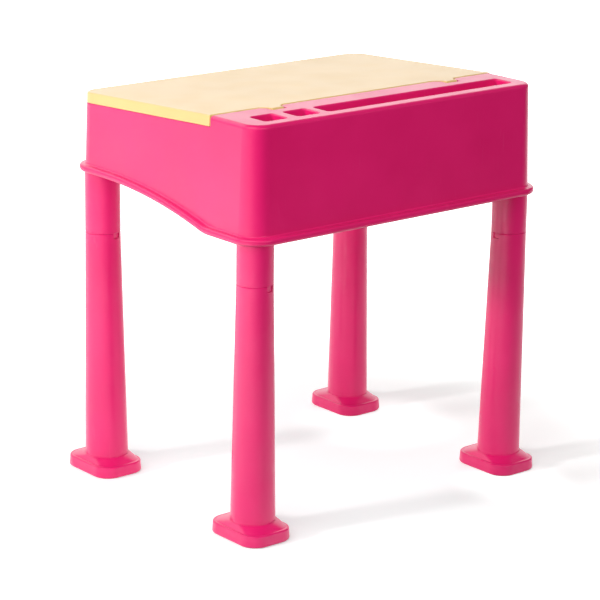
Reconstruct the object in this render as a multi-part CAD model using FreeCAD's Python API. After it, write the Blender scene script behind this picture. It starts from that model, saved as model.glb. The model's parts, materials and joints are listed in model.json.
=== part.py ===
import FreeCAD, Part
import math
import os

# Child's desk: a moulded case on four plug-in legs, with a hinged lid over a storage compartment.
# Millimetres. Origin on the floor in the middle of the feet, +Z up.
# The child sits on the -Y side, the pen tray is along +Y, and +X is the child's right.

V = FreeCAD.Vector

# Case: sizes at the height of the tray top, growing downwards with the draft
TRAY_TOP = 500.0
CASE_HEIGHT = 138.6
CASE_WIDTH = 444.9
CASE_DEPTH = 340.0
CASE_CORNER_R = 22.0
DRAFT_DEG = 1.8
WALL = 3.0
DECK = 3.0
RIM_ROUND = 5.0
POCKET_ROUND = 2.0
EDGE_ROUND = 0.8

# Flange and bowed underside
FRONT_RISE = 28.0
FRONT_FLAT = 54.2
REAR_FLAT = 80.2
KNEE_ROUND = 60.0
FLANGE_OUT = 7.2
FLANGE_HEIGHT = 8.5
FLANGE_ROUND = 3.4
FLANGE_BLEND = 2.5

# Pen tray
TRAY_RIM = 18.55
POCKET_DEPTH = 30.0
POCKET_CORNER_R = 4.0
POCKET_WALL = 2.5
POCKET_FLOOR_R = 2.0
CUPS = 2
CUP_LENGTH = 33.0
CUP_GAP = 15.5
CUP_MARGIN = 31.9
CUP_DROP = 70.0
TROUGH_MARGIN = 22.5
TROUGH_GAP = 13.0
TROUGH_DROP = 22.0
APRON_DROP = 30.0

# Lid
LID_SLOPE_DEG = 3.0
LID_BAND = 13.3
LID_WALL = 3.0
LID_ROUND = 2.5
LID_GAP = 1.3
LID_RISE = 0.4
SEAT_GAP = 0.3
RIB = 2.0
RIB_DEPTH = 6.0
RIB_ROWS = 3
RIB_COLUMNS = 5

# Hinge
HINGE_INSET = 84.45
HINGE_SHIFT = -5.0
TAB_ROOT = 34.0
TAB_TIP = 18.0
TAB_STRAIGHT = 5.0
TAB_THROAT_R = 6.0
TAB_ROUND = 0.8
KNUCKLE_R = 4.5
PIN_R = 1.75
AXIS_BACK = 10.5
AXIS_DROP = 3.4
NOTCH_MOUTH = 0.9
NOTCH_SIDE = 1.7
NOTCH_BACK = 1.5
STRIP_LAND = 15.0
CHEEK = 4.0
CHEEK_DROP = 18.0
PIN_RUNNING = 0.08
PIN_SEAT = 0.03

# Floor panel
FLOOR = 3.0
FLOOR_FIT = 0.4
UPSTAND = 2.5
UPSTAND_HEIGHT = 9.0

# Bosses and screws
BOSS_R = 8.0
BOSS_HEIGHT = 36.0
WEB = 2.5
WEB_CLEAR = 1.0
FLOOR_BOSS_SPACING = 150.0
SCREW_R = 2.0
SCREW_HEAD_R = 4.2
SCREW_HEAD = 2.8
SCREW_BITE = 18.0
SCREW_CLEAR = 0.25
PILOT_CLEAR = 0.03
DRIVE_WIDTH = 1.2
DRIVE_LENGTH = 4.8
DRIVE_DEPTH = 1.4

# Legs and sockets
LEG_INSET_X = 18.8
LEG_INSET_Y = 18.95
SOCKET_DROP = 50.4
LEG_TOP_R = 22.0
LEG_FOOT_R = 27.4
LEG_TOE_X = 1.8
LEG_TOE_Y = 2.5
LEG_WALL = 3.0
JOINT_BEVEL = 0.7
SPIGOT_LENGTH = 35.0
SPIGOT_FIT = 0.15
SOCKET_WALL = 3.0
SOCKET_PLATE = 5.0
KEY_WIDTH = 10.0
KEY_DROP = 7.0
KEY_CLEAR = 0.3
KEY_RECESS = 1.6

# Feet
FOOT_WIDTH = 69.0
FOOT_LENGTH = 91.0
FOOT_CORNER_R = 22.0
# All the feet sit off the leg's axis by the same step, as one moulding set the same way round
FOOT_SHIFT_X = 1.6
FOOT_SHIFT_Y = -1.5
SOLE_ROUND = 3.0
SKIRT_HEIGHT = 15.0
SKIRT_TAPER = 1.2
SKIRT_ROUND = 2.0
SHOULDER_HEIGHT = 6.0
SHOULDER_SINK = 0.5
FOOT_LEDGE = 0.5
# Share of the foot's neck that is arc: a whole circle would leave no straight edges to loft
NECK_ARC = 0.98

# Sizes that follow from those above
DRAFT = math.tan(math.radians(DRAFT_DEG))
LID_SLOPE = math.tan(math.radians(LID_SLOPE_DEG))
HALF_WIDTH = CASE_WIDTH / 2
HALF_DEPTH = CASE_DEPTH / 2
REAR_BOTTOM = TRAY_TOP - CASE_HEIGHT
FRONT_BOTTOM = REAR_BOTTOM + FRONT_RISE
POCKET_REAR = HALF_DEPTH - TRAY_RIM
POCKET_FRONT = POCKET_REAR - POCKET_DEPTH
NOTCH_LENGTH = AXIS_BACK + KNUCKLE_R + NOTCH_BACK
TRAY_FRONT = POCKET_FRONT - STRIP_LAND - NOTCH_LENGTH
AXIS_Y = TRAY_FRONT + AXIS_BACK
AXIS_Z = TRAY_TOP - AXIS_DROP
LID_REAR = TRAY_FRONT - LID_GAP
LID_REAR_TOP = TRAY_TOP + LID_RISE
HINGE_X = HALF_WIDTH - HINGE_INSET
LEG_TOP = REAR_BOTTOM - SOCKET_DROP
LEG_X = HALF_WIDTH - LEG_INSET_X
LEG_Y = HALF_DEPTH - LEG_INSET_Y
FOOT_TOP = SKIRT_HEIGHT + SHOULDER_HEIGHT
LEG_BORE_R = LEG_TOP_R - LEG_WALL
SPIGOT_R = LEG_BORE_R - SPIGOT_FIT
NOTCH_HALF = TAB_TIP / 2 + NOTCH_SIDE
REACH = CASE_WIDTH + CASE_DEPTH
BELOW = REAR_BOTTOM - FLANGE_HEIGHT
ABOVE = TRAY_TOP + WALL

# Tolerance for picking edges, and the rise of an edge that counts as upright
NEAR = 0.01
UPRIGHT = math.sqrt(0.5)

SIDES = {"left": -1, "right": 1}
ENDS = {"front": -1, "rear": 1}
# Compass angle of the key notch in each leg, counted from +X
KEY_ANGLE = {"left": 0.0, "right": 105.0}


def box(low, high):
    size = [b - a for a, b in zip(low, high)]
    return Part.makeBox(*size, V(*low))


def rod(radius, start, end):
    axis = V(*end) - V(*start)
    return Part.makeCylinder(radius, axis.Length, V(*start), axis)


def rounded_rect(half_x, half_y, radius, z, centre=(0.0, 0.0)):
    """Closed outline at height z, anticlockwise from +X, as four arcs and four lines."""
    middle = radius * math.sqrt(0.5)
    arcs = []
    for sx, sy in ((1, 1), (-1, 1), (-1, -1), (1, -1)):
        hub = V(centre[0] + sx * (half_x - radius), centre[1] + sy * (half_y - radius), z)
        ends = [hub + V(sx * radius, 0, 0), hub + V(0, sy * radius, 0)]
        if sx * sy < 0:
            ends.reverse()
        arcs.append((ends[0], hub + V(sx * middle, sy * middle, 0), ends[1]))
    edges = []
    for arc, following in zip(arcs, arcs[1:] + arcs[:1]):
        edges.append(Part.Arc(*arc).toShape())
        edges.append(Part.LineSegment(arc[2], following[0]).toShape())
    return Part.Wire(edges)


def drafted_block(outset, low, high):
    """The case's outline, set out by outset, as a block that widens downwards with the draft."""
    sections = []
    for z in (low, high):
        grow = outset + (TRAY_TOP - z) * DRAFT
        sections.append(rounded_rect(HALF_WIDTH + grow, HALF_DEPTH + grow, CASE_CORNER_R + grow, z))
    return Part.makeLoft(sections, True, True)


def across(edges):
    """A closed outline in the YZ plane, drawn out over the whole width."""
    face = Part.Face(Part.Wire(edges))
    return face.extrude(V(2 * REACH, 0, 0))


def polygon(points):
    corners = [V(-REACH, y, z) for y, z in points]
    return Part.makePolygon(corners + corners[:1]).Edges


def underside(lift):
    """Edges of the bowed underside line from front to rear, raised square to itself by lift."""
    start = -HALF_DEPTH + FRONT_FLAT
    run = HALF_DEPTH - REAR_FLAT - start
    bow = (run**2 + FRONT_RISE**2) / (2 * FRONT_RISE)
    bow_hub = V(-REACH, start, FRONT_BOTTOM - bow)
    knee_run = math.sqrt(2 * FRONT_RISE * (bow + KNEE_ROUND) - FRONT_RISE**2)
    knee_hub = V(-REACH, start + knee_run, REAR_BOTTOM + KNEE_ROUND)
    turn = math.atan2(knee_hub.y - bow_hub.y, knee_hub.z - bow_hub.z)

    def on_bow(angle):
        return bow_hub + V(0, math.sin(angle), math.cos(angle)) * (bow + lift)

    def on_knee(angle):
        return knee_hub - V(0, math.sin(angle), math.cos(angle)) * (KNEE_ROUND - lift)

    front = V(-REACH, -REACH, FRONT_BOTTOM + lift)
    rear = V(-REACH, REACH, REAR_BOTTOM + lift)
    return [
        Part.LineSegment(front, on_bow(0)).toShape(),
        Part.Arc(on_bow(0), on_bow(turn / 2), on_bow(turn)).toShape(),
        Part.Arc(on_knee(turn), on_knee(turn / 2), on_knee(0)).toShape(),
        Part.LineSegment(on_knee(0), rear).toShape(),
    ]


def bowed_band(low_lift, high_lift):
    """Everything between two lines parallel to the underside."""
    low = underside(low_lift)
    high = underside(high_lift)
    joins = []
    for index, pick in ((0, 0), (-1, -1)):
        ends = [line[index].Vertexes[pick].Point for line in (low, high)]
        joins.append(Part.LineSegment(*ends).toShape())
    return across(Part.__sortEdges__(low + high + joins))


def over_underside(lift):
    """Everything above the underside line raised by lift."""
    line = underside(lift)
    front = line[0].Vertexes[0].Point
    rear = line[-1].Vertexes[-1].Point
    top_front = V(-REACH, -REACH, ABOVE)
    top_rear = V(-REACH, REACH, ABOVE)
    lid = Part.makePolygon([rear, top_rear, top_front, front]).Edges
    return across(Part.__sortEdges__(line + lid))


def lid_plane(y):
    """Height of the lid's top at depth y."""
    return LID_REAR_TOP - (LID_REAR - y) * LID_SLOPE


def lid_wedge(rear, drop_low, drop_high):
    """Everything in front of rear, between two planes parallel to the lid's top."""
    points = []
    for y, drop in ((-REACH, drop_low), (rear, drop_low), (rear, drop_high), (-REACH, drop_high)):
        points.append((y, lid_plane(y) - drop))
    return across(polygon(points))


def bottom_at(y):
    """Underside height on the flat stretches where the legs stand."""
    return REAR_BOTTOM if y > 0 else FRONT_BOTTOM


def corner_spots():
    """Name, place and end of the four legs."""
    spots = []
    for end, sy in ENDS.items():
        for side, sx in SIDES.items():
            spots.append((end, side, sx * LEG_X, sy * LEG_Y))
    return spots


def floor_boss_spots():
    """Places of the bosses that only the floor panel is screwed to."""
    spots = []
    for sy in ENDS.values():
        for sx in SIDES.values():
            spots.append((sx * FLOOR_BOSS_SPACING / 2, sy * LEG_Y))
    return spots


def boss_spots():
    return [(x, y) for _, _, x, y in corner_spots()] + floor_boss_spots()


def pockets():
    """The tray's pockets as (x from, x to, depth below the tray top)."""
    found = []
    right = HALF_WIDTH - CUP_MARGIN
    for _ in range(CUPS):
        found.append((right - CUP_LENGTH, right, CUP_DROP))
        right -= CUP_LENGTH + CUP_GAP
    trough_right = right + CUP_GAP - TROUGH_GAP
    found.append((-HALF_WIDTH + TROUGH_MARGIN, trough_right, TROUGH_DROP))
    return found


def pocket_block(left, right, low, high, outset):
    middle = ((left + right) / 2, (POCKET_FRONT + POCKET_REAR) / 2)
    half_x = (right - left) / 2 + outset
    half_y = POCKET_DEPTH / 2 + outset
    outline = rounded_rect(half_x, half_y, POCKET_CORNER_R + outset, low, middle)
    block = Part.Face(outline).extrude(V(0, 0, high - low))
    floor = [edge for edge in block.Edges if edge.BoundBox.ZMax < low + NEAR]
    return block.makeFillet(POCKET_FLOOR_R + outset, floor)


def flange():
    """A solid plate of the flange's outline, with both its edges rounded."""
    plate = drafted_block(FLANGE_OUT, BELOW, ABOVE).common(bowed_band(0, FLANGE_HEIGHT))
    rims = []
    for edge in plate.Edges:
        first, last = edge.ParameterRange
        level = abs(edge.tangentAt((first + last) / 2).z) < UPRIGHT
        if level and not inner_seam(edge):
            rims.append(edge)
    return plate.makeFillet(FLANGE_ROUND, rims)


def inner_seam(edge):
    """True for the straight seams that cross the plate's faces from side to side."""
    box_of = edge.BoundBox
    return box_of.XLength > CASE_WIDTH and box_of.YLength < FLANGE_HEIGHT


def hinge_notch(x):
    """The opening in the tray that one hinge tab swings through."""
    low = AXIS_Z - KNUCKLE_R - NOTCH_BACK
    mouth_half = TAB_ROOT / 2 + NOTCH_MOUTH
    half_widths = [
        (mouth_half, TRAY_FRONT - WALL),
        (mouth_half, TRAY_FRONT),
        (NOTCH_HALF, AXIS_Y - TAB_STRAIGHT),
        (NOTCH_HALF, TRAY_FRONT + NOTCH_LENGTH),
    ]
    return even_sided(x, half_widths, low, ABOVE)


def even_sided(x, half_widths, low, high):
    """An upright block, the same on both sides of x, from (half width, depth) pairs."""
    right = [V(x + half, y, low) for half, y in half_widths]
    left = [V(x - half, y, low) for half, y in reversed(half_widths)]
    outline = Part.makePolygon(right + left + right[:1])
    return Part.Face(outline).extrude(V(0, 0, high - low))


def desk_case():
    shell = drafted_block(0, BELOW, TRAY_TOP)
    case = shell.common(over_underside(0)).fuse(flange())
    flange_top = over_underside(FLANGE_HEIGHT)
    seam = [edge for edge in case.Edges if lies_on(edge, shell) and lies_on(edge, flange_top)]
    case = case.makeFillet(FLANGE_BLEND, seam)
    case = case.cut(drafted_block(-WALL, BELOW - FLANGE_HEIGHT, TRAY_TOP - DECK))
    case = case.cut(lid_wedge(TRAY_FRONT, LID_BAND + SEAT_GAP, -REACH))
    inside = drafted_block(-WALL / 2, BELOW, TRAY_TOP).common(over_underside(FLOOR))

    apron_low = (-HALF_WIDTH, TRAY_FRONT, TRAY_TOP - APRON_DROP)
    added = [box(apron_low, (HALF_WIDTH, TRAY_FRONT + WALL, TRAY_TOP))]
    for left, right, drop in pockets():
        low = TRAY_TOP - drop - POCKET_WALL
        added.append(pocket_block(left, right, low, TRAY_TOP, POCKET_WALL))
    for x in hinge_places():
        for sx in SIDES.values():
            inner = x + sx * NOTCH_HALF
            outer = inner + sx * CHEEK
            low = (min(inner, outer), TRAY_FRONT, TRAY_TOP - CHEEK_DROP)
            high = (max(inner, outer), POCKET_FRONT, TRAY_TOP)
            added.append(box(low, high))
    for x, y in boss_spots():
        added += boss(x, y)
    for piece in added:
        case = case.fuse(piece.common(inside))

    for left, right, drop in pockets():
        case = case.cut(pocket_block(left, right, TRAY_TOP - drop, ABOVE, 0))
    for x in hinge_places():
        case = case.cut(hinge_notch(x))
        case = case.cut(rod(PIN_R + PIN_SEAT, *pin_ends(x)))
    for x, y in boss_spots():
        low = bottom_at(y)
        pilot_top = low + FLOOR + SCREW_BITE + SCREW_HEAD
        case = case.cut(rod(SCREW_R + PILOT_CLEAR, (x, y, low), (x, y, pilot_top)))
    return rounded_edges(case.removeSplitter())


def rounded_edges(case):
    """The case with its rim, hinge edges, pockets and lid seat rounded, in that order."""
    walls = drafted_block(0, BELOW, ABOVE)
    rim = [edge for edge in case.Edges if on_tray_top(edge) and lies_on(edge, walls)]
    case = case.makeFillet(RIM_ROUND, rim)
    hinge_edges = [edge for edge in case.Edges if on_tray_top(edge) and ahead_of_pockets(edge)]
    case = case.makeFillet(EDGE_ROUND, hinge_edges)
    pocket_edges = [edge for edge in case.Edges if on_tray_top(edge) and beside_pockets(edge)]
    case = case.makeFillet(POCKET_ROUND, pocket_edges)
    seat = [edge for edge in case.Edges if on_lid_plane(edge, LID_BAND + SEAT_GAP) and lies_on(edge, walls)]
    return case.makeFillet(EDGE_ROUND, seat)


def ahead_of_pockets(edge):
    return edge.BoundBox.YMax < POCKET_FRONT - NEAR


def beside_pockets(edge):
    room = edge.BoundBox
    return room.YMin > POCKET_FRONT - NEAR and room.YMax < POCKET_REAR + NEAR


def lies_on(edge, solid):
    """True where the middle of an edge is on a solid's outside."""
    first, last = edge.ParameterRange
    middle = Part.Vertex(edge.valueAt((first + last) / 2))
    return solid.Shells[0].distToShape(middle)[0] < NEAR


def on_tray_top(edge):
    return edge.BoundBox.ZMin > TRAY_TOP - NEAR


def boss(x, y):
    """A screw boss with two webs that tie it to the nearest walls."""
    low = bottom_at(y) + FLOOR
    top = low + BOSS_HEIGHT
    web_low = bottom_at(y) + UPSTAND_HEIGHT + WEB_CLEAR
    out_y = y + math.copysign(BOSS_R + LEG_INSET_Y, y)
    pieces = [rod(BOSS_R, (x, y, low), (x, y, top))]
    pieces.append(box((x - WEB / 2, min(y, out_y), web_low), (x + WEB / 2, max(y, out_y), top)))
    if abs(x) >= LEG_X:
        out_x = x + math.copysign(BOSS_R + LEG_INSET_X, x)
        pieces.append(box((min(x, out_x), y - WEB / 2, web_low), (max(x, out_x), y + WEB / 2, top)))
    return pieces


def hinge_places():
    return [sx * HINGE_X + HINGE_SHIFT for sx in SIDES.values()]


def pin_ends(x):
    """Both ends of the pin through the tab at x."""
    half = NOTCH_HALF + CHEEK
    return (x - half, AXIS_Y, AXIS_Z), (x + half, AXIS_Y, AXIS_Z)


def hinge_pin(x):
    return rod(PIN_R, *pin_ends(x))


def knuckle_tangent(y, z):
    """Where a line from a point over the lid touches the top of the knuckle."""
    run, fall = AXIS_Y - y, AXIS_Z - z
    away = math.hypot(run, fall)
    angle = math.atan2(fall, run) + math.asin(KNUCKLE_R / away)
    length = math.sqrt(away**2 - KNUCKLE_R**2)
    return y + length * math.cos(angle), z + length * math.sin(angle)


def lid_tab(x):
    """A hinge tab: a thick tongue that narrows from the lid to a straight round end."""
    rear = AXIS_Y + KNUCKLE_R
    root = LID_REAR - LID_WALL
    left, right = x - TAB_ROOT / 2, x + TAB_ROOT / 2
    start = (root, lid_plane(root))
    profile = [start, knuckle_tangent(*start), (AXIS_Y, AXIS_Z), (root, AXIS_Z)]
    tongue = across(polygon(profile)).common(box((left, root, AXIS_Z), (right, rear, ABOVE)))
    tongue = tongue.fuse(rod(KNUCKLE_R, (left, AXIS_Y, AXIS_Z), (right, AXIS_Y, AXIS_Z)))
    throat = AXIS_Y - TAB_STRAIGHT
    half_widths = [
        (TAB_ROOT / 2, root),
        (TAB_ROOT / 2, LID_REAR),
        (TAB_TIP / 2, throat),
        (TAB_TIP / 2, rear),
    ]
    plan = even_sided(x, half_widths, AXIS_Z - KNUCKLE_R, ABOVE)
    bends = [edge for edge in plan.Edges if is_upright_at(edge, throat)]
    plan = plan.makeFillet(TAB_THROAT_R, bends)
    tab = tongue.common(plan).removeSplitter()
    return tab.makeFillet(TAB_ROUND, [edge for edge in tab.Edges if on_tab_side(edge)])


def is_upright_at(edge, y):
    room = edge.BoundBox
    return room.ZLength > KNUCKLE_R and abs(room.YMin - y) < NEAR and abs(room.YMax - y) < NEAR


def on_tab_side(edge):
    """True for the edges where a tab's sides meet its top and its round end."""
    room = edge.BoundBox
    narrow = room.XLength < (TAB_ROOT - TAB_TIP) / 2 + NEAR
    return narrow and room.YMin > LID_REAR - NEAR and room.YLength > NEAR and room.ZMax > AXIS_Z + NEAR


def lid():
    block = drafted_block(0, BELOW, ABOVE).common(lid_wedge(LID_REAR, LID_BAND, 0))
    block = block.makeFillet(LID_ROUND, [edge for edge in block.Edges if on_lid_plane(edge, 0)])
    block = block.makeFillet(EDGE_ROUND, [edge for edge in block.Edges if on_lid_plane(edge, LID_BAND)])
    hollow = drafted_block(-LID_WALL, BELOW, ABOVE)
    hollow = hollow.common(lid_wedge(LID_REAR - LID_WALL, LID_BAND + LID_WALL, LID_WALL))
    shell = block.cut(hollow)
    for rib in lid_ribs():
        shell = shell.fuse(rib.common(hollow))
    for x in hinge_places():
        shell = shell.fuse(lid_tab(x))
    for x in hinge_places():
        shell = shell.cut(rod(PIN_R + PIN_RUNNING, *pin_ends(x)))
    return shell.removeSplitter()


def on_lid_plane(edge, drop):
    """True for an edge that lies in the plane of the lid's top, lowered by drop."""
    return all(abs(point.Z - lid_plane(point.Y) + drop) < NEAR for point in edge.Vertexes)


def lid_ribs():
    """Stiffening ribs under the lid, in rows along X and columns along Y."""
    band = lid_wedge(LID_REAR, LID_WALL + RIB_DEPTH, LID_WALL / 2)
    front = -HALF_DEPTH
    ribs = []
    for row in range(1, RIB_ROWS + 1):
        y = front + (LID_REAR - front) * row / (RIB_ROWS + 1)
        ribs.append(box((-HALF_WIDTH, y - RIB / 2, BELOW), (HALF_WIDTH, y + RIB / 2, ABOVE)).common(band))
    for column in range(1, RIB_COLUMNS + 1):
        x = -HALF_WIDTH + CASE_WIDTH * column / (RIB_COLUMNS + 1)
        ribs.append(box((x - RIB / 2, front, BELOW), (x + RIB / 2, LID_REAR, ABOVE)).common(band))
    return ribs


def floor_panel():
    outset = -WALL - FLOOR_FIT
    low = BELOW - FLANGE_HEIGHT
    outline = drafted_block(outset, low, TRAY_TOP)
    panel = outline.common(bowed_band(0, UPSTAND_HEIGHT))
    dish = drafted_block(outset - UPSTAND, low, TRAY_TOP).common(over_underside(FLOOR))
    panel = panel.cut(dish)
    for x, y in boss_spots():
        z = bottom_at(y)
        panel = panel.cut(rod(SCREW_R + SCREW_CLEAR, (x, y, z - FLOOR), (x, y, z + UPSTAND_HEIGHT)))
    return panel.removeSplitter()


def screw(x, y, seat, grip):
    """A pan-head screw driven upwards: its head bears on seat and it passes through grip."""
    shank = rod(SCREW_R, (x, y, seat), (x, y, seat + grip + SCREW_BITE))
    head = rod(SCREW_HEAD_R, (x, y, seat - SCREW_HEAD), (x, y, seat))
    low = seat - SCREW_HEAD
    whole = head.fuse(shank)
    for half_x, half_y in ((DRIVE_LENGTH / 2, DRIVE_WIDTH / 2), (DRIVE_WIDTH / 2, DRIVE_LENGTH / 2)):
        slot = box((x - half_x, y - half_y, low), (x + half_x, y + half_y, low + DRIVE_DEPTH))
        whole = whole.cut(slot)
    return whole.removeSplitter()


def floor_screws():
    return Part.makeCompound([screw(x, y, bottom_at(y), FLOOR) for x, y in floor_boss_spots()])


def socket_screws():
    made = []
    for _, _, x, y in corner_spots():
        made.append(screw(x, y, bottom_at(y) - SOCKET_PLATE, SOCKET_PLATE + FLOOR))
    return Part.makeCompound(made)


def key_block(x, y, side, inner_r, outer_r, clear):
    """A block that reaches out through the leg's wall just under the joint."""
    half = KEY_WIDTH / 2 - clear
    tall = KEY_DROP - clear
    block = box((x + inner_r, y - half, LEG_TOP - tall), (x + outer_r, y + half, LEG_TOP))
    block.rotate(V(x, y, 0), V(0, 0, 1), KEY_ANGLE[side])
    return block


def leg_socket(side, x, y):
    top = bottom_at(y)
    barrel = rod(LEG_TOP_R, (x, y, LEG_TOP), (x, y, top))
    ring = [edge for edge in barrel.Edges if edge.BoundBox.ZMax < LEG_TOP + JOINT_BEVEL]
    barrel = barrel.makeChamfer(JOINT_BEVEL, ring)
    spigot = rod(SPIGOT_R, (x, y, LEG_TOP - SPIGOT_LENGTH), (x, y, LEG_TOP + JOINT_BEVEL))
    key = key_block(x, y, side, SPIGOT_R - SOCKET_WALL, LEG_TOP_R - KEY_RECESS, KEY_CLEAR)
    socket = barrel.fuse(spigot).fuse(key)
    bore = rod(SPIGOT_R - SOCKET_WALL, (x, y, LEG_TOP - SPIGOT_LENGTH), (x, y, top - SOCKET_PLATE))
    hole = rod(SCREW_R + SCREW_CLEAR, (x, y, LEG_TOP), (x, y, top))
    return socket.cut(bore).cut(hole).removeSplitter()


def circle(x, y, z, radius):
    return Part.Wire(Part.makeCircle(radius, V(x, y, z)))


def leg_radius(z):
    return LEG_FOOT_R + (LEG_TOP_R - LEG_FOOT_R) * z / LEG_TOP


def leg_axis(x, y, z):
    """Where the axis of the leg whose top is at x, y passes height z: the leg leans in a little."""
    lean = 1 - z / LEG_TOP
    return x - math.copysign(LEG_TOE_X, x) * lean, y - math.copysign(LEG_TOE_Y, y) * lean


def taper(x, y, inset, low, high):
    """The leg's leaning round taper between two heights, inset from its outside."""
    sections = [circle(*leg_axis(x, y, z), z, leg_radius(z) - inset) for z in (low, high)]
    return Part.makeLoft(sections, True, True)


def foot(x, y):
    """A skirt with rounded edges and a low shoulder that slopes up to the leg."""
    axis_x, axis_y = leg_axis(x, y, 0)
    centre = (axis_x + FOOT_SHIFT_X, axis_y + FOOT_SHIFT_Y)

    def outline(inset, z):
        half_x, half_y = FOOT_WIDTH / 2 - inset, FOOT_LENGTH / 2 - inset
        return rounded_rect(half_x, half_y, FOOT_CORNER_R - inset, z, centre)

    skirt = Part.makeLoft([outline(0, 0), outline(SKIRT_TAPER, SKIRT_HEIGHT)], True, True)
    skirt = skirt.makeFillet(SOLE_ROUND, [edge for edge in skirt.Edges if edge.BoundBox.ZMax < NEAR])
    top = [edge for edge in skirt.Edges if edge.BoundBox.ZMin > SKIRT_HEIGHT - NEAR]
    skirt = skirt.makeFillet(SKIRT_ROUND, top)
    neck = leg_radius(FOOT_TOP) + FOOT_LEDGE
    collar = rounded_rect(neck, neck, neck * NECK_ARC, FOOT_TOP, leg_axis(x, y, FOOT_TOP))
    base = outline(SKIRT_TAPER + SKIRT_ROUND + FOOT_LEDGE, SKIRT_HEIGHT - SHOULDER_SINK)
    return skirt.fuse(Part.makeLoft([base, collar], True, True))


def leg(side, x, y):
    shaft = taper(x, y, 0, 0, LEG_TOP)
    ring = [edge for edge in shaft.Edges if edge.BoundBox.ZMin > LEG_TOP - JOINT_BEVEL]
    shaft = shaft.makeChamfer(JOINT_BEVEL, ring)
    whole = shaft.fuse(foot(x, y))
    whole = whole.cut(taper(x, y, LEG_WALL, -LEG_WALL, LEG_TOP + LEG_WALL))
    return whole.cut(key_block(x, y, side, LEG_BORE_R - LEG_WALL, LEG_TOP_R + LEG_WALL, 0))


def main():
    nodes = {
        "desk_case": desk_case(),
        "floor_panel": floor_panel(),
        "lid": lid(),
        "floor_screws": floor_screws(),
        "socket_screws": socket_screws(),
    }
    for side, sx in SIDES.items():
        nodes[f"hinge_pin_{side}"] = hinge_pin(sx * HINGE_X + HINGE_SHIFT)
    for end, side, x, y in corner_spots():
        nodes[f"leg_socket_{end}_{side}"] = leg_socket(side, x, y)
        nodes[f"leg_{end}_{side}"] = leg(side, x, y)

    # The feet reach furthest, so the origin is in the middle of them
    os.makedirs("parts", exist_ok=True)
    for name, shape in nodes.items():
        shape.translate(V(-FOOT_SHIFT_X, -FOOT_SHIFT_Y, 0))
        shape.exportStep(f"parts/{name}.step")
        state = "valid" if shape.isValid() else "NOT VALID"
        print(name, state, len(shape.Solids), "solids", round(shape.Volume / 1000, 2), "cm3")


main()
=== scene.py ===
import json
import math

import bpy
from mathutils import Matrix, Vector


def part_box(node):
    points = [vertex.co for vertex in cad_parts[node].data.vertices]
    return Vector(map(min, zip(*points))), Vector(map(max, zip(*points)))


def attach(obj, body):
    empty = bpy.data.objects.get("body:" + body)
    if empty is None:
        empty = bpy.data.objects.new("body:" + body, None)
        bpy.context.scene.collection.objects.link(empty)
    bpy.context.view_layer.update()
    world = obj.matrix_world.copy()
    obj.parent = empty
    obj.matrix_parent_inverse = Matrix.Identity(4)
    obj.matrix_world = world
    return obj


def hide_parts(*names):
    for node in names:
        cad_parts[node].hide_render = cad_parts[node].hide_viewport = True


# Child's desk: moulded pink case on round legs, with a pale yellow lid.
# Metres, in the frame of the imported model: +Z up, pen tray along +Y, child on the -Y side.

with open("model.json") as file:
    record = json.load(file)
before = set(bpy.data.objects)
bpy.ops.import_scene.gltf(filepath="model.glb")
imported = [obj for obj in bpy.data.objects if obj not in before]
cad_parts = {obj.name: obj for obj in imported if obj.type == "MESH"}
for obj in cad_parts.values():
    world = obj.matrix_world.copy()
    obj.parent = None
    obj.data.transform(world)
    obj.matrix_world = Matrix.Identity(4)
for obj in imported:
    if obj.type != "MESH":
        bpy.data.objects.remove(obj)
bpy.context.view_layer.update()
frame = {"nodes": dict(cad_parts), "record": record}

# Camera, fitted to the edges of the desk in the photograph
CAMERA_AZIMUTH = 140.083
CAMERA_ELEVATION = 16.113
CAMERA_ROLL = 0.834
CAMERA_DISTANCE = 3.148837
CAMERA_SIDE = -0.004946
CAMERA_HEIGHT = 0.220539
CAMERA_LENS = 150.17
CAMERA_SENSOR = 36.0

# Surroundings: paler on the child's side, dim on the tray's side, with a bright wall there for reflections
WORLD_BRIGHT = 0.14
WORLD_DARK = 0.10
WORLD_TURN = 0.6
REAR_WALL = 2.8
REAR_WALL_SIDE = (0.72, 0.90)
REAR_WALL_RISE = (0.14, 0.30)

# Suns: strength, the way to the lamp and its size in degrees
KEY_STRENGTH = 1.50
KEY_DIRECTION = (0.94, -0.19, 0.31)
KEY_SPREAD = 8.0
FILL_STRENGTH = 1.32
FILL_DIRECTION = (-0.40, 0.84, 0.36)
FILL_SPREAD = 20.0

# Area lamps: one behind the lid, one for reflections on rounded edges alone, and a softbox beside the key
PANEL_POWER = 53.0
PANEL_PLACE = (-1.9, -2.25, 1.35)
PANEL_SIZE = (4.2, 2.4)
PANEL_AIM = (0.0, 0.0, 0.45)
EDGE_POWER = 56.0
EDGE_PLACE = (1.1, -2.3, 2.0)
EDGE_SIZE = (3.6, 2.4)
SOFTBOX_POWER = 14.0
SOFTBOX_PLACE = (1.25, 0.38, 1.25)
SOFTBOX_SIZE = (1.5, 1.3)
SOFTBOX_AIM = (0.0, 0.0, 0.25)

# Floor as the desk sees it: a white sweep with a painted pool of key light, brighter towards the key, that
# fades to painted shade where it ends on the tray's side; diffuse rays get a dimmer copy, painted shade on
# the legs near the floor
FLOOR_SIZE = 24.0
SWEEP_WAY = (-0.15, 0.99)
SWEEP_FULL = 0.50
SWEEP_END = 1.50
SWEEP_TONE = 1.98
PAINTED_KEY_POOL = 1.40
SWEEP_KEY_REACH = 1.1
BOUNCE_BACK = 0.46
BOUNCE_FRONT = 0.14
BOUNCE_REACH = 0.45

# Floor as the camera sees it: matt, with a painted glow that lifts the desk's shadows near it and washes them
# out to white far away, and a painted tint that cancels the pink of the bounce light near the desk
SHOWN_TONE = 1.0
SHOWN_RED_KEY = 0.82
SHOWN_RED_AWAY = 0.96
SHOWN_RED_REACH = 0.32
SHOWN_BLUE = 0.97
SHOWN_GLOW_NEAR = 0.31
SHOWN_GLOW_FAR = 1.0
SHOWN_NEAR = 0.30
SHOWN_FAR = 0.66
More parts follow.
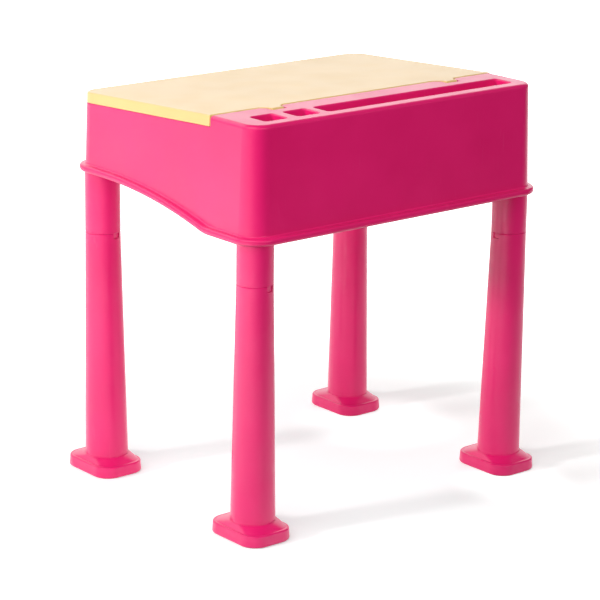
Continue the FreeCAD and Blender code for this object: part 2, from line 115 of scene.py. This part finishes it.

# Painted light: paler places of the floor between the legs that lift the desk's shadow there, centre and
# radius
PATCH_GLOW = 0.30
PATCH_CORE = 1 / 3
SHADOW_LIFT_PATCHES = ((-0.19, -0.07, 0.0, 0.13), (-0.17, 0.215, 0.0, 0.09))

# Moulded skin of the plastics
PLASTIC_IOR = 1.5
SKIN_DEPTH = 0.00004
GRAIN_SCALE = 900.0
GRAIN_SHARE = 0.35
SWELL_SCALE = 60.0
FLOW_SCALE = 9.0
FLOW_RANGE = (0.3, 0.7)
GLOSS_SCALE = 24.0
GLOSS_RANGE = (0.3, 0.75)
GLOSS_SWING = 0.02

# Scuffs: hairlines in worn patches, and rubbed places near the floor
SCUFF_DENSITY = 0.12
SCUFF_ROUGHNESS = 0.1
HAIR_TURN = (0.3, 0.5, 0.7)
HAIR_STRETCH = (420.0, 18.0, 34.0)
HAIR_RANGE = (0.66, 0.74)
WORN_PATCH_SCALE = 11.0
WORN_PATCH_RANGE = (0.45, 0.7)
RUB_SCALE = 70.0
RUB_RANGE = (0.5, 0.75)
RUB_HEIGHT = 0.05

# Zinc plating: clouds of two greys and a brushed gloss
PLATING_DULL = (0.42, 0.42, 0.43, 1.0)
PLATING_BRIGHT = (0.62, 0.62, 0.62, 1.0)
PLATING_CLOUD_SCALE = 400.0
PLATING_BRUSH_SCALE = 900.0
PLATING_RANGE = (0.3, 0.7)
PLATING_ROUGHNESS = (0.25, 0.42)

# Screws, measured from the underside of the head
HEAD_RADIUS = 0.0042
HEAD_HEIGHT = 0.0028
SHANK_RADIUS = 0.0020
CORE_SHARE = 0.72
POINT_SHARE = 1.8
THREAD_PITCH = 0.0016
DRIVE_LENGTH = 0.0048
DRIVE_WIDTH = 0.0012
DRIVE_DEPTH = 0.0014
FLOOR_SCREW_SHANK = 0.021
SOCKET_SCREW_SHANK = 0.026
TURN_SEED = 7
DOME_SEGMENTS = 32
DOME_RINGS = 20
CORE_SIDES = 24
THREAD_STEPS = 20
THREAD_SIDES = 4
SHARP_EDGE = 35.0


# Helpers for node trees


def socket(tree, name, way, kind, value=None):
    """Adds a named socket to a node group."""
    made = tree.interface.new_socket(name=name, in_out=way, socket_type=kind)
    if value is not None:
        made.default_value = value


def wire(tree, source, target):
    """Links an output to an input."""
    tree.links.new(source, target)


def add(tree, kind, **settings):
    """Adds a node and sets its properties."""
    node = tree.nodes.new(kind)
    for name, value in settings.items():
        setattr(node, name, value)
    return node


def built(tree, kind, feeds, **settings):
    """Adds a node, gives each input a socket or a value, and returns its first output."""
    node = add(tree, kind, **settings)
    for name, value in feeds.items():
        if isinstance(value, bpy.types.NodeSocket):
            wire(tree, value, node.inputs[name])
        else:
            node.inputs[name].default_value = value
    return node.outputs[0]


def noise(tree, vector, scale, detail):
    """A noise texture on the given coordinates."""
    return built(tree, "ShaderNodeTexNoise", {"Vector": vector, "Scale": scale, "Detail": detail})


def ramp(tree, value, low, high, out_low=0.0, out_high=1.0):
    """Maps low..high of a value onto out_low..out_high, held at both ends."""
    feeds = {"Value": value, "From Min": low, "From Max": high, "To Min": out_low, "To Max": out_high}
    return built(tree, "ShaderNodeMapRange", feeds, interpolation_type="SMOOTHSTEP")


def maths(tree, operation, first, second):
    """One sum on two values, each a socket or a number."""
    return built(tree, "ShaderNodeMath", {0: first, 1: second}, operation=operation)


def split(tree, vector):
    """The X, Y and Z of a vector."""
    node = add(tree, "ShaderNodeSeparateXYZ")
    wire(tree, vector, node.inputs["Vector"])
    return node.outputs


def mix_colour(tree, share, first, second):
    """Two colours mixed by a mask; each is a socket or a tuple."""
    node = add(tree, "ShaderNodeMix", data_type="RGBA")
    wire(tree, share, node.inputs["Factor"])
    for slot, value in zip([s for s in node.inputs if s.type == "RGBA"], (first, second)):
        if isinstance(value, tuple):
            slot.default_value = value
        else:
            wire(tree, value, slot)
    return [s for s in node.outputs if s.type == "RGBA"][0]


# Finishes


def moulded_skin_group():
    """Fine texture of a moulded surface: a height for bump, a slow drift of tone and a drift of gloss."""
    tree = bpy.data.node_groups.new("moulded_skin", "ShaderNodeTree")
    socket(tree, "Vector", "INPUT", "NodeSocketVector")
    socket(tree, "Grain Scale", "INPUT", "NodeSocketFloat", GRAIN_SCALE)
    socket(tree, "Flow Scale", "INPUT", "NodeSocketFloat", FLOW_SCALE)
    for name in ("Height", "Tone", "Gloss"):
        socket(tree, name, "OUTPUT", "NodeSocketFloat")
    given = add(tree, "NodeGroupInput").outputs
    result = add(tree, "NodeGroupOutput").inputs
    vector = given["Vector"]
    grain = noise(tree, vector, given["Grain Scale"], 2.0)
    swell = noise(tree, vector, SWELL_SCALE, 1.0)
    height = maths(tree, "ADD", maths(tree, "MULTIPLY", grain, GRAIN_SHARE), swell)
    wire(tree, height, result["Height"])
    flow = noise(tree, vector, given["Flow Scale"], 3.0)
    wire(tree, ramp(tree, flow, *FLOW_RANGE), result["Tone"])
    wire(tree, ramp(tree, noise(tree, vector, GLOSS_SCALE, 4.0), *GLOSS_RANGE), result["Gloss"])
    return tree


def scuff_group():
    """Fine scratches and rubbed patches, denser near the floor, as one mask."""
    tree = bpy.data.node_groups.new("scuffs", "ShaderNodeTree")
    socket(tree, "Vector", "INPUT", "NodeSocketVector")
    socket(tree, "Density", "INPUT", "NodeSocketFloat", SCUFF_DENSITY)
    socket(tree, "Floor Height", "INPUT", "NodeSocketFloat", RUB_HEIGHT)
    socket(tree, "Mask", "OUTPUT", "NodeSocketFloat")
    given = add(tree, "NodeGroupInput").outputs
    result = add(tree, "NodeGroupOutput").inputs
    vector = given["Vector"]
    placing = {"Vector": vector, "Rotation": HAIR_TURN, "Scale": HAIR_STRETCH}
    stretched = built(tree, "ShaderNodeMapping", placing)
    hairs = ramp(tree, noise(tree, stretched, 1.0, 1.0), *HAIR_RANGE)
    patches = ramp(tree, noise(tree, vector, WORN_PATCH_SCALE, 3.0), *WORN_PATCH_RANGE)
    worn = maths(tree, "MULTIPLY", hairs, patches)
    share = maths(tree, "DIVIDE", split(tree, vector)["Z"], given["Floor Height"])
    low = ramp(tree, share, 0.0, 1.0, 1.0, 0.0)
    blots = ramp(tree, noise(tree, vector, RUB_SCALE, 4.0), *RUB_RANGE)
    rubbed = maths(tree, "MULTIPLY", low, blots)
    both = maths(tree, "MAXIMUM", worn, rubbed)
    wire(tree, maths(tree, "MULTIPLY", both, given["Density"]), result["Mask"])
    return tree


def new_material(name):
    """A material with its node tree and the piece's own coordinates."""
    material = bpy.data.materials.new(name)
    material.use_nodes = True
    tree = material.node_tree
    return material, tree, add(tree, "ShaderNodeTexCoord").outputs["Object"]


def plastic(name, deep, light, worn, shaded_bounce, skin, scuffs, roughness):
    """Satin moulded plastic: drifting tone and gloss, fine skin, a few scuffs, and a darker colour for
    diffuse rays, painted shade in the light it passes on to other surfaces.
    """
    material, tree, place = new_material(name)
    shader = tree.nodes["Principled BSDF"].inputs
    surface = add(tree, "ShaderNodeGroup", node_tree=skin)
    rub = add(tree, "ShaderNodeGroup", node_tree=scuffs)
    for effect in (surface, rub):
        wire(tree, place, effect.inputs["Vector"])
    base = mix_colour(tree, surface.outputs["Tone"], deep, light)
    colour = mix_colour(tree, rub.outputs["Mask"], base, worn)
    # Painted shade: diffuse rays see the darker colour, so the plastic passes on less light to its recesses
    # and to other surfaces than it shows.
    passed_on = add(tree, "ShaderNodeLightPath").outputs["Is Diffuse Ray"]
    wire(tree, mix_colour(tree, passed_on, colour, shaded_bounce), shader["Base Color"])
    gloss = surface.outputs["Gloss"]
    satin = ramp(tree, gloss, 0.0, 1.0, roughness - GLOSS_SWING, roughness + GLOSS_SWING)
    rubbed = maths(tree, "MULTIPLY", rub.outputs["Mask"], SCUFF_ROUGHNESS)
    wire(tree, maths(tree, "ADD", satin, rubbed), shader["Roughness"])
    relief = {"Strength": 1.0, "Distance": SKIN_DEPTH, "Height": surface.outputs["Height"]}
    wire(tree, built(tree, "ShaderNodeBump", relief), shader["Normal"])
    shader["IOR"].default_value = PLASTIC_IOR
    return material


def steel(name):
    """Zinc-plated steel with a cloudy, lightly brushed finish."""
    material, tree, place = new_material(name)
    shader = tree.nodes["Principled BSDF"].inputs
    cloud = ramp(tree, noise(tree, place, PLATING_CLOUD_SCALE, 3.0), *PLATING_RANGE)
    wire(tree, mix_colour(tree, cloud, PLATING_DULL, PLATING_BRIGHT), shader["Base Color"])
    brushed = noise(tree, place, PLATING_BRUSH_SCALE, 2.0)
    wire(tree, ramp(tree, brushed, *PLATING_RANGE, *PLATING_ROUGHNESS), shader["Roughness"])
    shader["Metallic"].default_value = 1.0
    return material


# Studio floor


def mirrored_floor(tree, parts, path):
    """The white sweep that lights the desk from below and shows in its gloss, with a painted pool of key
    light, painted shade where it ends, and a dimmer copy for diffuse rays that paints shade low on the legs.
    """
    ahead_x = maths(tree, "MULTIPLY", parts["X"], SWEEP_WAY[0])
    ahead = maths(tree, "ADD", ahead_x, maths(tree, "MULTIPLY", parts["Y"], SWEEP_WAY[1]))
    # Painted shade: the sweep fades to black on the tray's side, standing in for the dark side of the studio.
    paper = ramp(tree, ahead, SWEEP_FULL, SWEEP_END, 1.0, 0.0)
    # Painted pool of key light: the floor's grey rises towards the key.
    tone = ramp(tree, parts["X"], 0.0, SWEEP_KEY_REACH, SWEEP_TONE, SWEEP_TONE + PAINTED_KEY_POOL)
    # Painted shade: diffuse rays get a dimmer copy of the floor, dimmest on the tray's side, so the legs are
    # darker near the floor.
    bounce = ramp(tree, ahead, -BOUNCE_REACH, BOUNCE_REACH, BOUNCE_BACK, BOUNCE_FRONT)
    less = maths(tree, "MULTIPLY", path["Is Diffuse Ray"], maths(tree, "SUBTRACT", 1.0, bounce))
    share = maths(tree, "SUBTRACT", 1.0, less)
    level = maths(tree, "MULTIPLY", maths(tree, "MULTIPLY", paper, tone), share)
    grey = built(tree, "ShaderNodeCombineColor", {"Red": level, "Green": level, "Blue": level})
    return built(tree, "ShaderNodeBsdfDiffuse", {"Color": grey})


def shown_floor(tree, parts, place):
    """The pale floor that the camera sees, with the desk's shadows lifted by a painted glow and paler painted
    patches, and a painted tint against the pink bounce light.
    """
    matt = built(tree, "ShaderNodeBsdfDiffuse", {"Color": (SHOWN_TONE, SHOWN_TONE, SHOWN_TONE, 1.0)})
    reach = add(tree, "ShaderNodeVectorMath", operation="LENGTH")
    wire(tree, place, reach.inputs[0])
    far = ramp(tree, reach.outputs["Value"], SHOWN_NEAR, SHOWN_FAR)
    # Painted tint: less red towards the key near the desk, cancelling the pink of the bounce light on the
    # floor.
    red = ramp(tree, parts["X"], -SHOWN_RED_REACH, 0.0, SHOWN_RED_AWAY, SHOWN_RED_KEY)
    red = maths(tree, "MAXIMUM", red, far)
    anti_pink_tint = built(tree, "ShaderNodeCombineColor", {"Red": red, "Green": 1.0, "Blue": SHOWN_BLUE})
    # Painted glow: lifts the desk's shadows near it and washes them out to white further away.
    white = ramp(tree, far, 0.0, 1.0, SHOWN_GLOW_NEAR, SHOWN_GLOW_FAR)
    # Painted light: paler patches that lift the desk's shadow between the legs.
    for *centre, edge in SHADOW_LIFT_PATCHES:
        apart = add(tree, "ShaderNodeVectorMath", operation="DISTANCE")
        wire(tree, place, apart.inputs[0])
        apart.inputs[1].default_value = centre
        pale = ramp(tree, apart.outputs["Value"], edge * PATCH_CORE, edge, PATCH_GLOW, 0.0)
        white = maths(tree, "ADD", white, pale)
    glow = built(tree, "ShaderNodeEmission", {"Color": anti_pink_tint, "Strength": white})
    return built(tree, "ShaderNodeAddShader", {0: matt, 1: glow})


def floor_material():
    """Studio floor with one face for the desk and one for the camera, each with painted light and shade."""
    material, tree, place = new_material("studio_floor")
    parts = split(tree, place)
    path = add(tree, "ShaderNodeLightPath").outputs
    faces = {1: mirrored_floor(tree, parts, path), 2: shown_floor(tree, parts, place)}
    choice = built(tree, "ShaderNodeMixShader", {"Fac": path["Is Camera Ray"], **faces})
    wire(tree, choice, tree.nodes["Material Output"].inputs["Surface"])
    tree.nodes.remove(tree.nodes["Principled BSDF"])
    return material


# Screws


def raised(tree, geometry, height):
    """The geometry moved up by a height, a socket or a number."""
    place = built(tree, "ShaderNodeCombineXYZ", {"Z": height})
    return built(tree, "GeometryNodeTransform", {"Geometry": geometry, "Translation": place})


def block(tree, x, y, z):
    """A box of the given sizes about the origin."""
    size = built(tree, "ShaderNodeCombineXYZ", {"X": x, "Y": y, "Z": z})
    return built(tree, "GeometryNodeMeshCube", {"Size": size})


def screw_head(tree, given):
    """A domed head under its seat, with a cross cut into the lowest part of the dome."""
    radius, height = given["Head Radius"], given["Head Height"]
    facets = {"Segments": DOME_SEGMENTS, "Rings": DOME_RINGS, "Radius": 1.0}
    ball = built(tree, "GeometryNodeMeshUVSphere", facets)
    scale = built(tree, "ShaderNodeCombineXYZ", {"X": radius, "Y": radius, "Z": height})
    dome = built(tree, "GeometryNodeTransform", {"Geometry": ball, "Scale": scale})
    width = maths(tree, "MULTIPLY", radius, 3.0)
    upper_half = raised(tree, block(tree, width, width, width), maths(tree, "MULTIPLY", width, 0.5))
    low = maths(tree, "MULTIPLY", height, -1.0)
    length, slot_width = given["Drive Length"], given["Drive Width"]
    depth = maths(tree, "MULTIPLY", given["Drive Depth"], 2.0)
    slots = [
        raised(tree, block(tree, length, slot_width, depth), low),
        raised(tree, block(tree, slot_width, length, depth), low),
    ]
    cut = add(tree, "GeometryNodeMeshBoolean", operation="DIFFERENCE", solver="EXACT")
    wire(tree, dome, cut.inputs["Mesh 1"])
    for cutter in [upper_half] + slots:
        wire(tree, cutter, cut.inputs["Mesh 2"])
    return cut.outputs["Mesh"]


def screw_shank(tree, given):
    """A core with a wound thread and a tapered point, as a list of geometries."""
    radius, length = given["Shank Radius"], given["Shank Length"]
    core_radius = maths(tree, "MULTIPLY", radius, CORE_SHARE)
    point = maths(tree, "MULTIPLY", radius, POINT_SHARE)
    straight = maths(tree, "SUBTRACT", length, point)
    core_sizes = {"Vertices": CORE_SIDES, "Radius": core_radius, "Depth": straight}
    core = built(tree, "GeometryNodeMeshCylinder", core_sizes)
    tip_sizes = {"Vertices": CORE_SIDES, "Radius Top": 0.0, "Radius Bottom": core_radius, "Depth": point}
    tip = built(tree, "GeometryNodeMeshCone", tip_sizes)
    turns = maths(tree, "DIVIDE", straight, given["Thread Pitch"])
    winding = {"Resolution": THREAD_STEPS, "Rotations": turns, "Height": straight}
    winding.update({"Start Radius": core_radius, "End Radius": core_radius})
    helix = built(tree, "GeometryNodeCurveSpiral", winding)
    crest = maths(tree, "SUBTRACT", radius, core_radius)
    ridge = built(tree, "GeometryNodeCurvePrimitiveCircle", {"Resolution": THREAD_SIDES, "Radius": crest})
    wound = {"Curve": helix, "Profile Curve": ridge, "Fill Caps": True}
    thread = built(tree, "GeometryNodeCurveToMesh", wound)
    return [raised(tree, core, maths(tree, "MULTIPLY", straight, 0.5)), raised(tree, tip, straight), thread]


def screw_tree(finish):
    """Geometry Nodes: on every point, a screw with its head below the point, each turned its own way."""
    tree = bpy.data.node_groups.new("cross_head_screws", "GeometryNodeTree")
    socket(tree, "Seats", "INPUT", "NodeSocketGeometry")
    for name, size in (
        ("Head Radius", HEAD_RADIUS),
        ("Head Height", HEAD_HEIGHT),
        ("Shank Radius", SHANK_RADIUS),
        ("Shank Length", FLOOR_SCREW_SHANK),
        ("Thread Pitch", THREAD_PITCH),
        ("Drive Length", DRIVE_LENGTH),
        ("Drive Width", DRIVE_WIDTH),
        ("Drive Depth", DRIVE_DEPTH),
    ):
        socket(tree, name, "INPUT", "NodeSocketFloat", size)
    socket(tree, "Screws", "OUTPUT", "NodeSocketGeometry")
    given = add(tree, "NodeGroupInput").outputs
    joined = add(tree, "GeometryNodeJoinGeometry")
    for part in [screw_head(tree, given)] + screw_shank(tree, given):
        wire(tree, part, joined.inputs["Geometry"])
    spin = add(tree, "FunctionNodeRandomValue", data_type="FLOAT")
    spin.inputs["Seed"].default_value = TURN_SEED
    angle = maths(tree, "MULTIPLY", spin.outputs["Value"], math.pi)
    turn = built(tree, "ShaderNodeCombineXYZ", {"Z": angle})
    placing = {"Points": given["Seats"], "Instance": joined.outputs["Geometry"]}
    placing["Rotation"] = built(tree, "FunctionNodeEulerToRotation", {"Euler": turn})
    placed = built(tree, "GeometryNodeInstanceOnPoints", placing)
    real = built(tree, "GeometryNodeRealizeInstances", {"Geometry": placed})
    dressed = built(tree, "GeometryNodeSetMaterial", {"Geometry": real, "Material": finish})
    wire(tree, dressed, add(tree, "NodeGroupOutput").inputs["Screws"])
    return tree


def link(thing):
    """Puts an object into the scene."""
    bpy.context.scene.collection.objects.link(thing)
    return thing


def make_screws(node, tree, shank):
    """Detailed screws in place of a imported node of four: heads down, the rear ones lower with the floor."""
    low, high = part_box(node)
    seats = []
    for x in (low[0] + HEAD_RADIUS, high[0] - HEAD_RADIUS):
        seats.append((x, low[1] + HEAD_RADIUS, high[2] - shank))
        seats.append((x, high[1] - HEAD_RADIUS, low[2] + HEAD_HEIGHT))
    points = bpy.data.meshes.new(node + "_seats")
    points.from_pydata(seats, [], [])
    screws = link(bpy.data.objects.new("cross_head_" + node, points))
    builder = screws.modifiers.new("screws", "NODES")
    builder.node_group = tree
    for item in tree.interface.items_tree:
        if item.name == "Shank Length":
            builder[item.identifier] = shank
    graph = bpy.context.evaluated_depsgraph_get()
    solid = bpy.data.meshes.new_from_object(screws.evaluated_get(graph))
    screws.modifiers.remove(builder)
    screws.data = solid
    solid.shade_smooth()
    solid.set_sharp_from_angle(angle=math.radians(SHARP_EDGE))
    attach(screws, "desk")
    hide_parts(node)


# Studio


def make_floor():
    """A wide flat floor under the feet."""
    half = FLOOR_SIZE / 2
    mesh = bpy.data.meshes.new("studio_floor")
    corners = [(-half, -half, 0), (half, -half, 0), (half, half, 0), (-half, half, 0)]
    mesh.from_pydata(corners, [], [(0, 1, 2, 3)])
    mesh.materials.append(floor_material())
    link(bpy.data.objects.new("studio_floor", mesh))


def make_world():
    """Dim surroundings, a wall on the tray's side for reflections, and plain white for the camera."""
    world = bpy.data.worlds.new("studio")
    bpy.context.scene.world = world
    world.use_nodes = True
    tree = world.node_tree
    glow = tree.nodes["Background"].inputs
    glow["Color"].default_value = (1.0, 1.0, 1.0, 1.0)
    parts = split(tree, add(tree, "ShaderNodeTexCoord").outputs["Generated"])
    path = add(tree, "ShaderNodeLightPath").outputs
    around = ramp(tree, parts["Y"], -WORLD_TURN, WORLD_TURN, WORLD_BRIGHT, WORLD_DARK)
    wall = ramp(tree, parts["Y"], *REAR_WALL_SIDE, 0.0, REAR_WALL)
    wall = maths(tree, "MULTIPLY", wall, ramp(tree, parts["Z"], *REAR_WALL_RISE))
    mirrored = maths(tree, "MULTIPLY", wall, path["Is Glossy Ray"])
    bright = maths(tree, "MAXIMUM", mirrored, path["Is Camera Ray"])
    wire(tree, maths(tree, "MAXIMUM", around, bright), glow["Strength"])


def aimed(place, target):
    """A matrix that stands at place and looks at target."""
    turn = (Vector(target) - Vector(place)).to_track_quat("-Z", "Y").to_matrix().to_4x4()
    return Matrix.Translation(place) @ turn


def make_lights():
    """Two suns that show in no reflection, and three area lamps that the camera doesn't see."""
    for name, strength, direction, spread, shades in (
        ("key", KEY_STRENGTH, KEY_DIRECTION, KEY_SPREAD, True),
        ("fill", FILL_STRENGTH, FILL_DIRECTION, FILL_SPREAD, False),
    ):
        light = bpy.data.lights.new(name, "SUN")
        light.energy = strength
        light.angle = math.radians(spread)
        light.use_shadow = shades
        lamp = link(bpy.data.objects.new(name, light))
        lamp.matrix_world = aimed(Vector(direction) * CAMERA_DISTANCE, (0.0, 0.0, 0.0))
        lamp.visible_glossy = False
    for name, power, place, size, aim, lights in (
        ("back_panel", PANEL_POWER, PANEL_PLACE, PANEL_SIZE, PANEL_AIM, True),
        ("edge_panel", EDGE_POWER, EDGE_PLACE, EDGE_SIZE, PANEL_AIM, False),
        ("softbox", SOFTBOX_POWER, SOFTBOX_PLACE, SOFTBOX_SIZE, SOFTBOX_AIM, True),
    ):
        light = bpy.data.lights.new(name, "AREA")
        light.shape = "RECTANGLE"
        light.size, light.size_y = size
        light.energy = power
        lamp = link(bpy.data.objects.new(name, light))
        lamp.matrix_world = aimed(place, aim)
        lamp.visible_camera = False
        lamp.visible_diffuse = lights


def make_camera():
    """The photograph's own view, with its slight roll."""
    azimuth, elevation = math.radians(CAMERA_AZIMUTH), math.radians(CAMERA_ELEVATION)
    level = math.cos(elevation)
    back = Vector((math.sin(azimuth) * level, -math.cos(azimuth) * level, math.sin(elevation)))
    right = Vector((0, 0, 1)).cross(back).normalized()
    up = back.cross(right)
    roll = math.radians(CAMERA_ROLL)
    across = right * math.cos(roll) + up * math.sin(roll)
    upward = up * math.cos(roll) - right * math.sin(roll)
    place = right * CAMERA_SIDE + Vector((0, 0, CAMERA_HEIGHT)) + back * CAMERA_DISTANCE
    lens = bpy.data.cameras.new("camera")
    lens.lens = CAMERA_LENS
    lens.sensor_width = CAMERA_SENSOR
    camera = link(bpy.data.objects.new("camera", lens))
    turn = Matrix((across, upward, back)).transposed().to_4x4()
    camera.matrix_world = Matrix.Translation(place) @ turn
    bpy.context.scene.camera = camera


def dress(node, material):
    """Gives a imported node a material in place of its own."""
    slots = frame["nodes"][node].data.materials
    slots.clear()
    slots.append(material)


def main():
    skin = moulded_skin_group()
    scuffs = scuff_group()
    pink = plastic(
        "pink_moulding",
        deep=(0.84, 0.012, 0.158, 1.0),
        light=(0.90, 0.015, 0.178, 1.0),
        worn=(0.90, 0.11, 0.28, 1.0),
        # darker copy for diffuse rays: painted shade in the light the pink passes on
        shaded_bounce=(0.48, 0.025, 0.12, 1.0),
        skin=skin,
        scuffs=scuffs,
        roughness=0.30,
    )
    yellow = plastic(
        "yellow_moulding",
        deep=(0.89, 0.588, 0.222, 1.0),
        light=(0.93, 0.622, 0.242, 1.0),
        worn=(0.94, 0.73, 0.36, 1.0),
        # darker copy for diffuse rays: painted shade in the light the yellow passes on
        shaded_bounce=(0.60, 0.45, 0.20, 1.0),
        skin=skin,
        scuffs=scuffs,
        roughness=0.34,
    )
    plated = steel("zinc_plated_steel")
    finishes = {"pink_plastic": pink, "yellow_plastic": yellow, "steel": plated}
    for entry in frame["record"]["subparts"]:
        dress(entry["node"], finishes[entry["material_slot"]])
    fastening = screw_tree(plated)
    make_screws("floor_screws", fastening, FLOOR_SCREW_SHANK)
    make_screws("socket_screws", fastening, SOCKET_SCREW_SHANK)
    make_floor()
    make_world()
    make_lights()
    make_camera()
    bpy.context.scene.view_settings.view_transform = "Standard"


main()
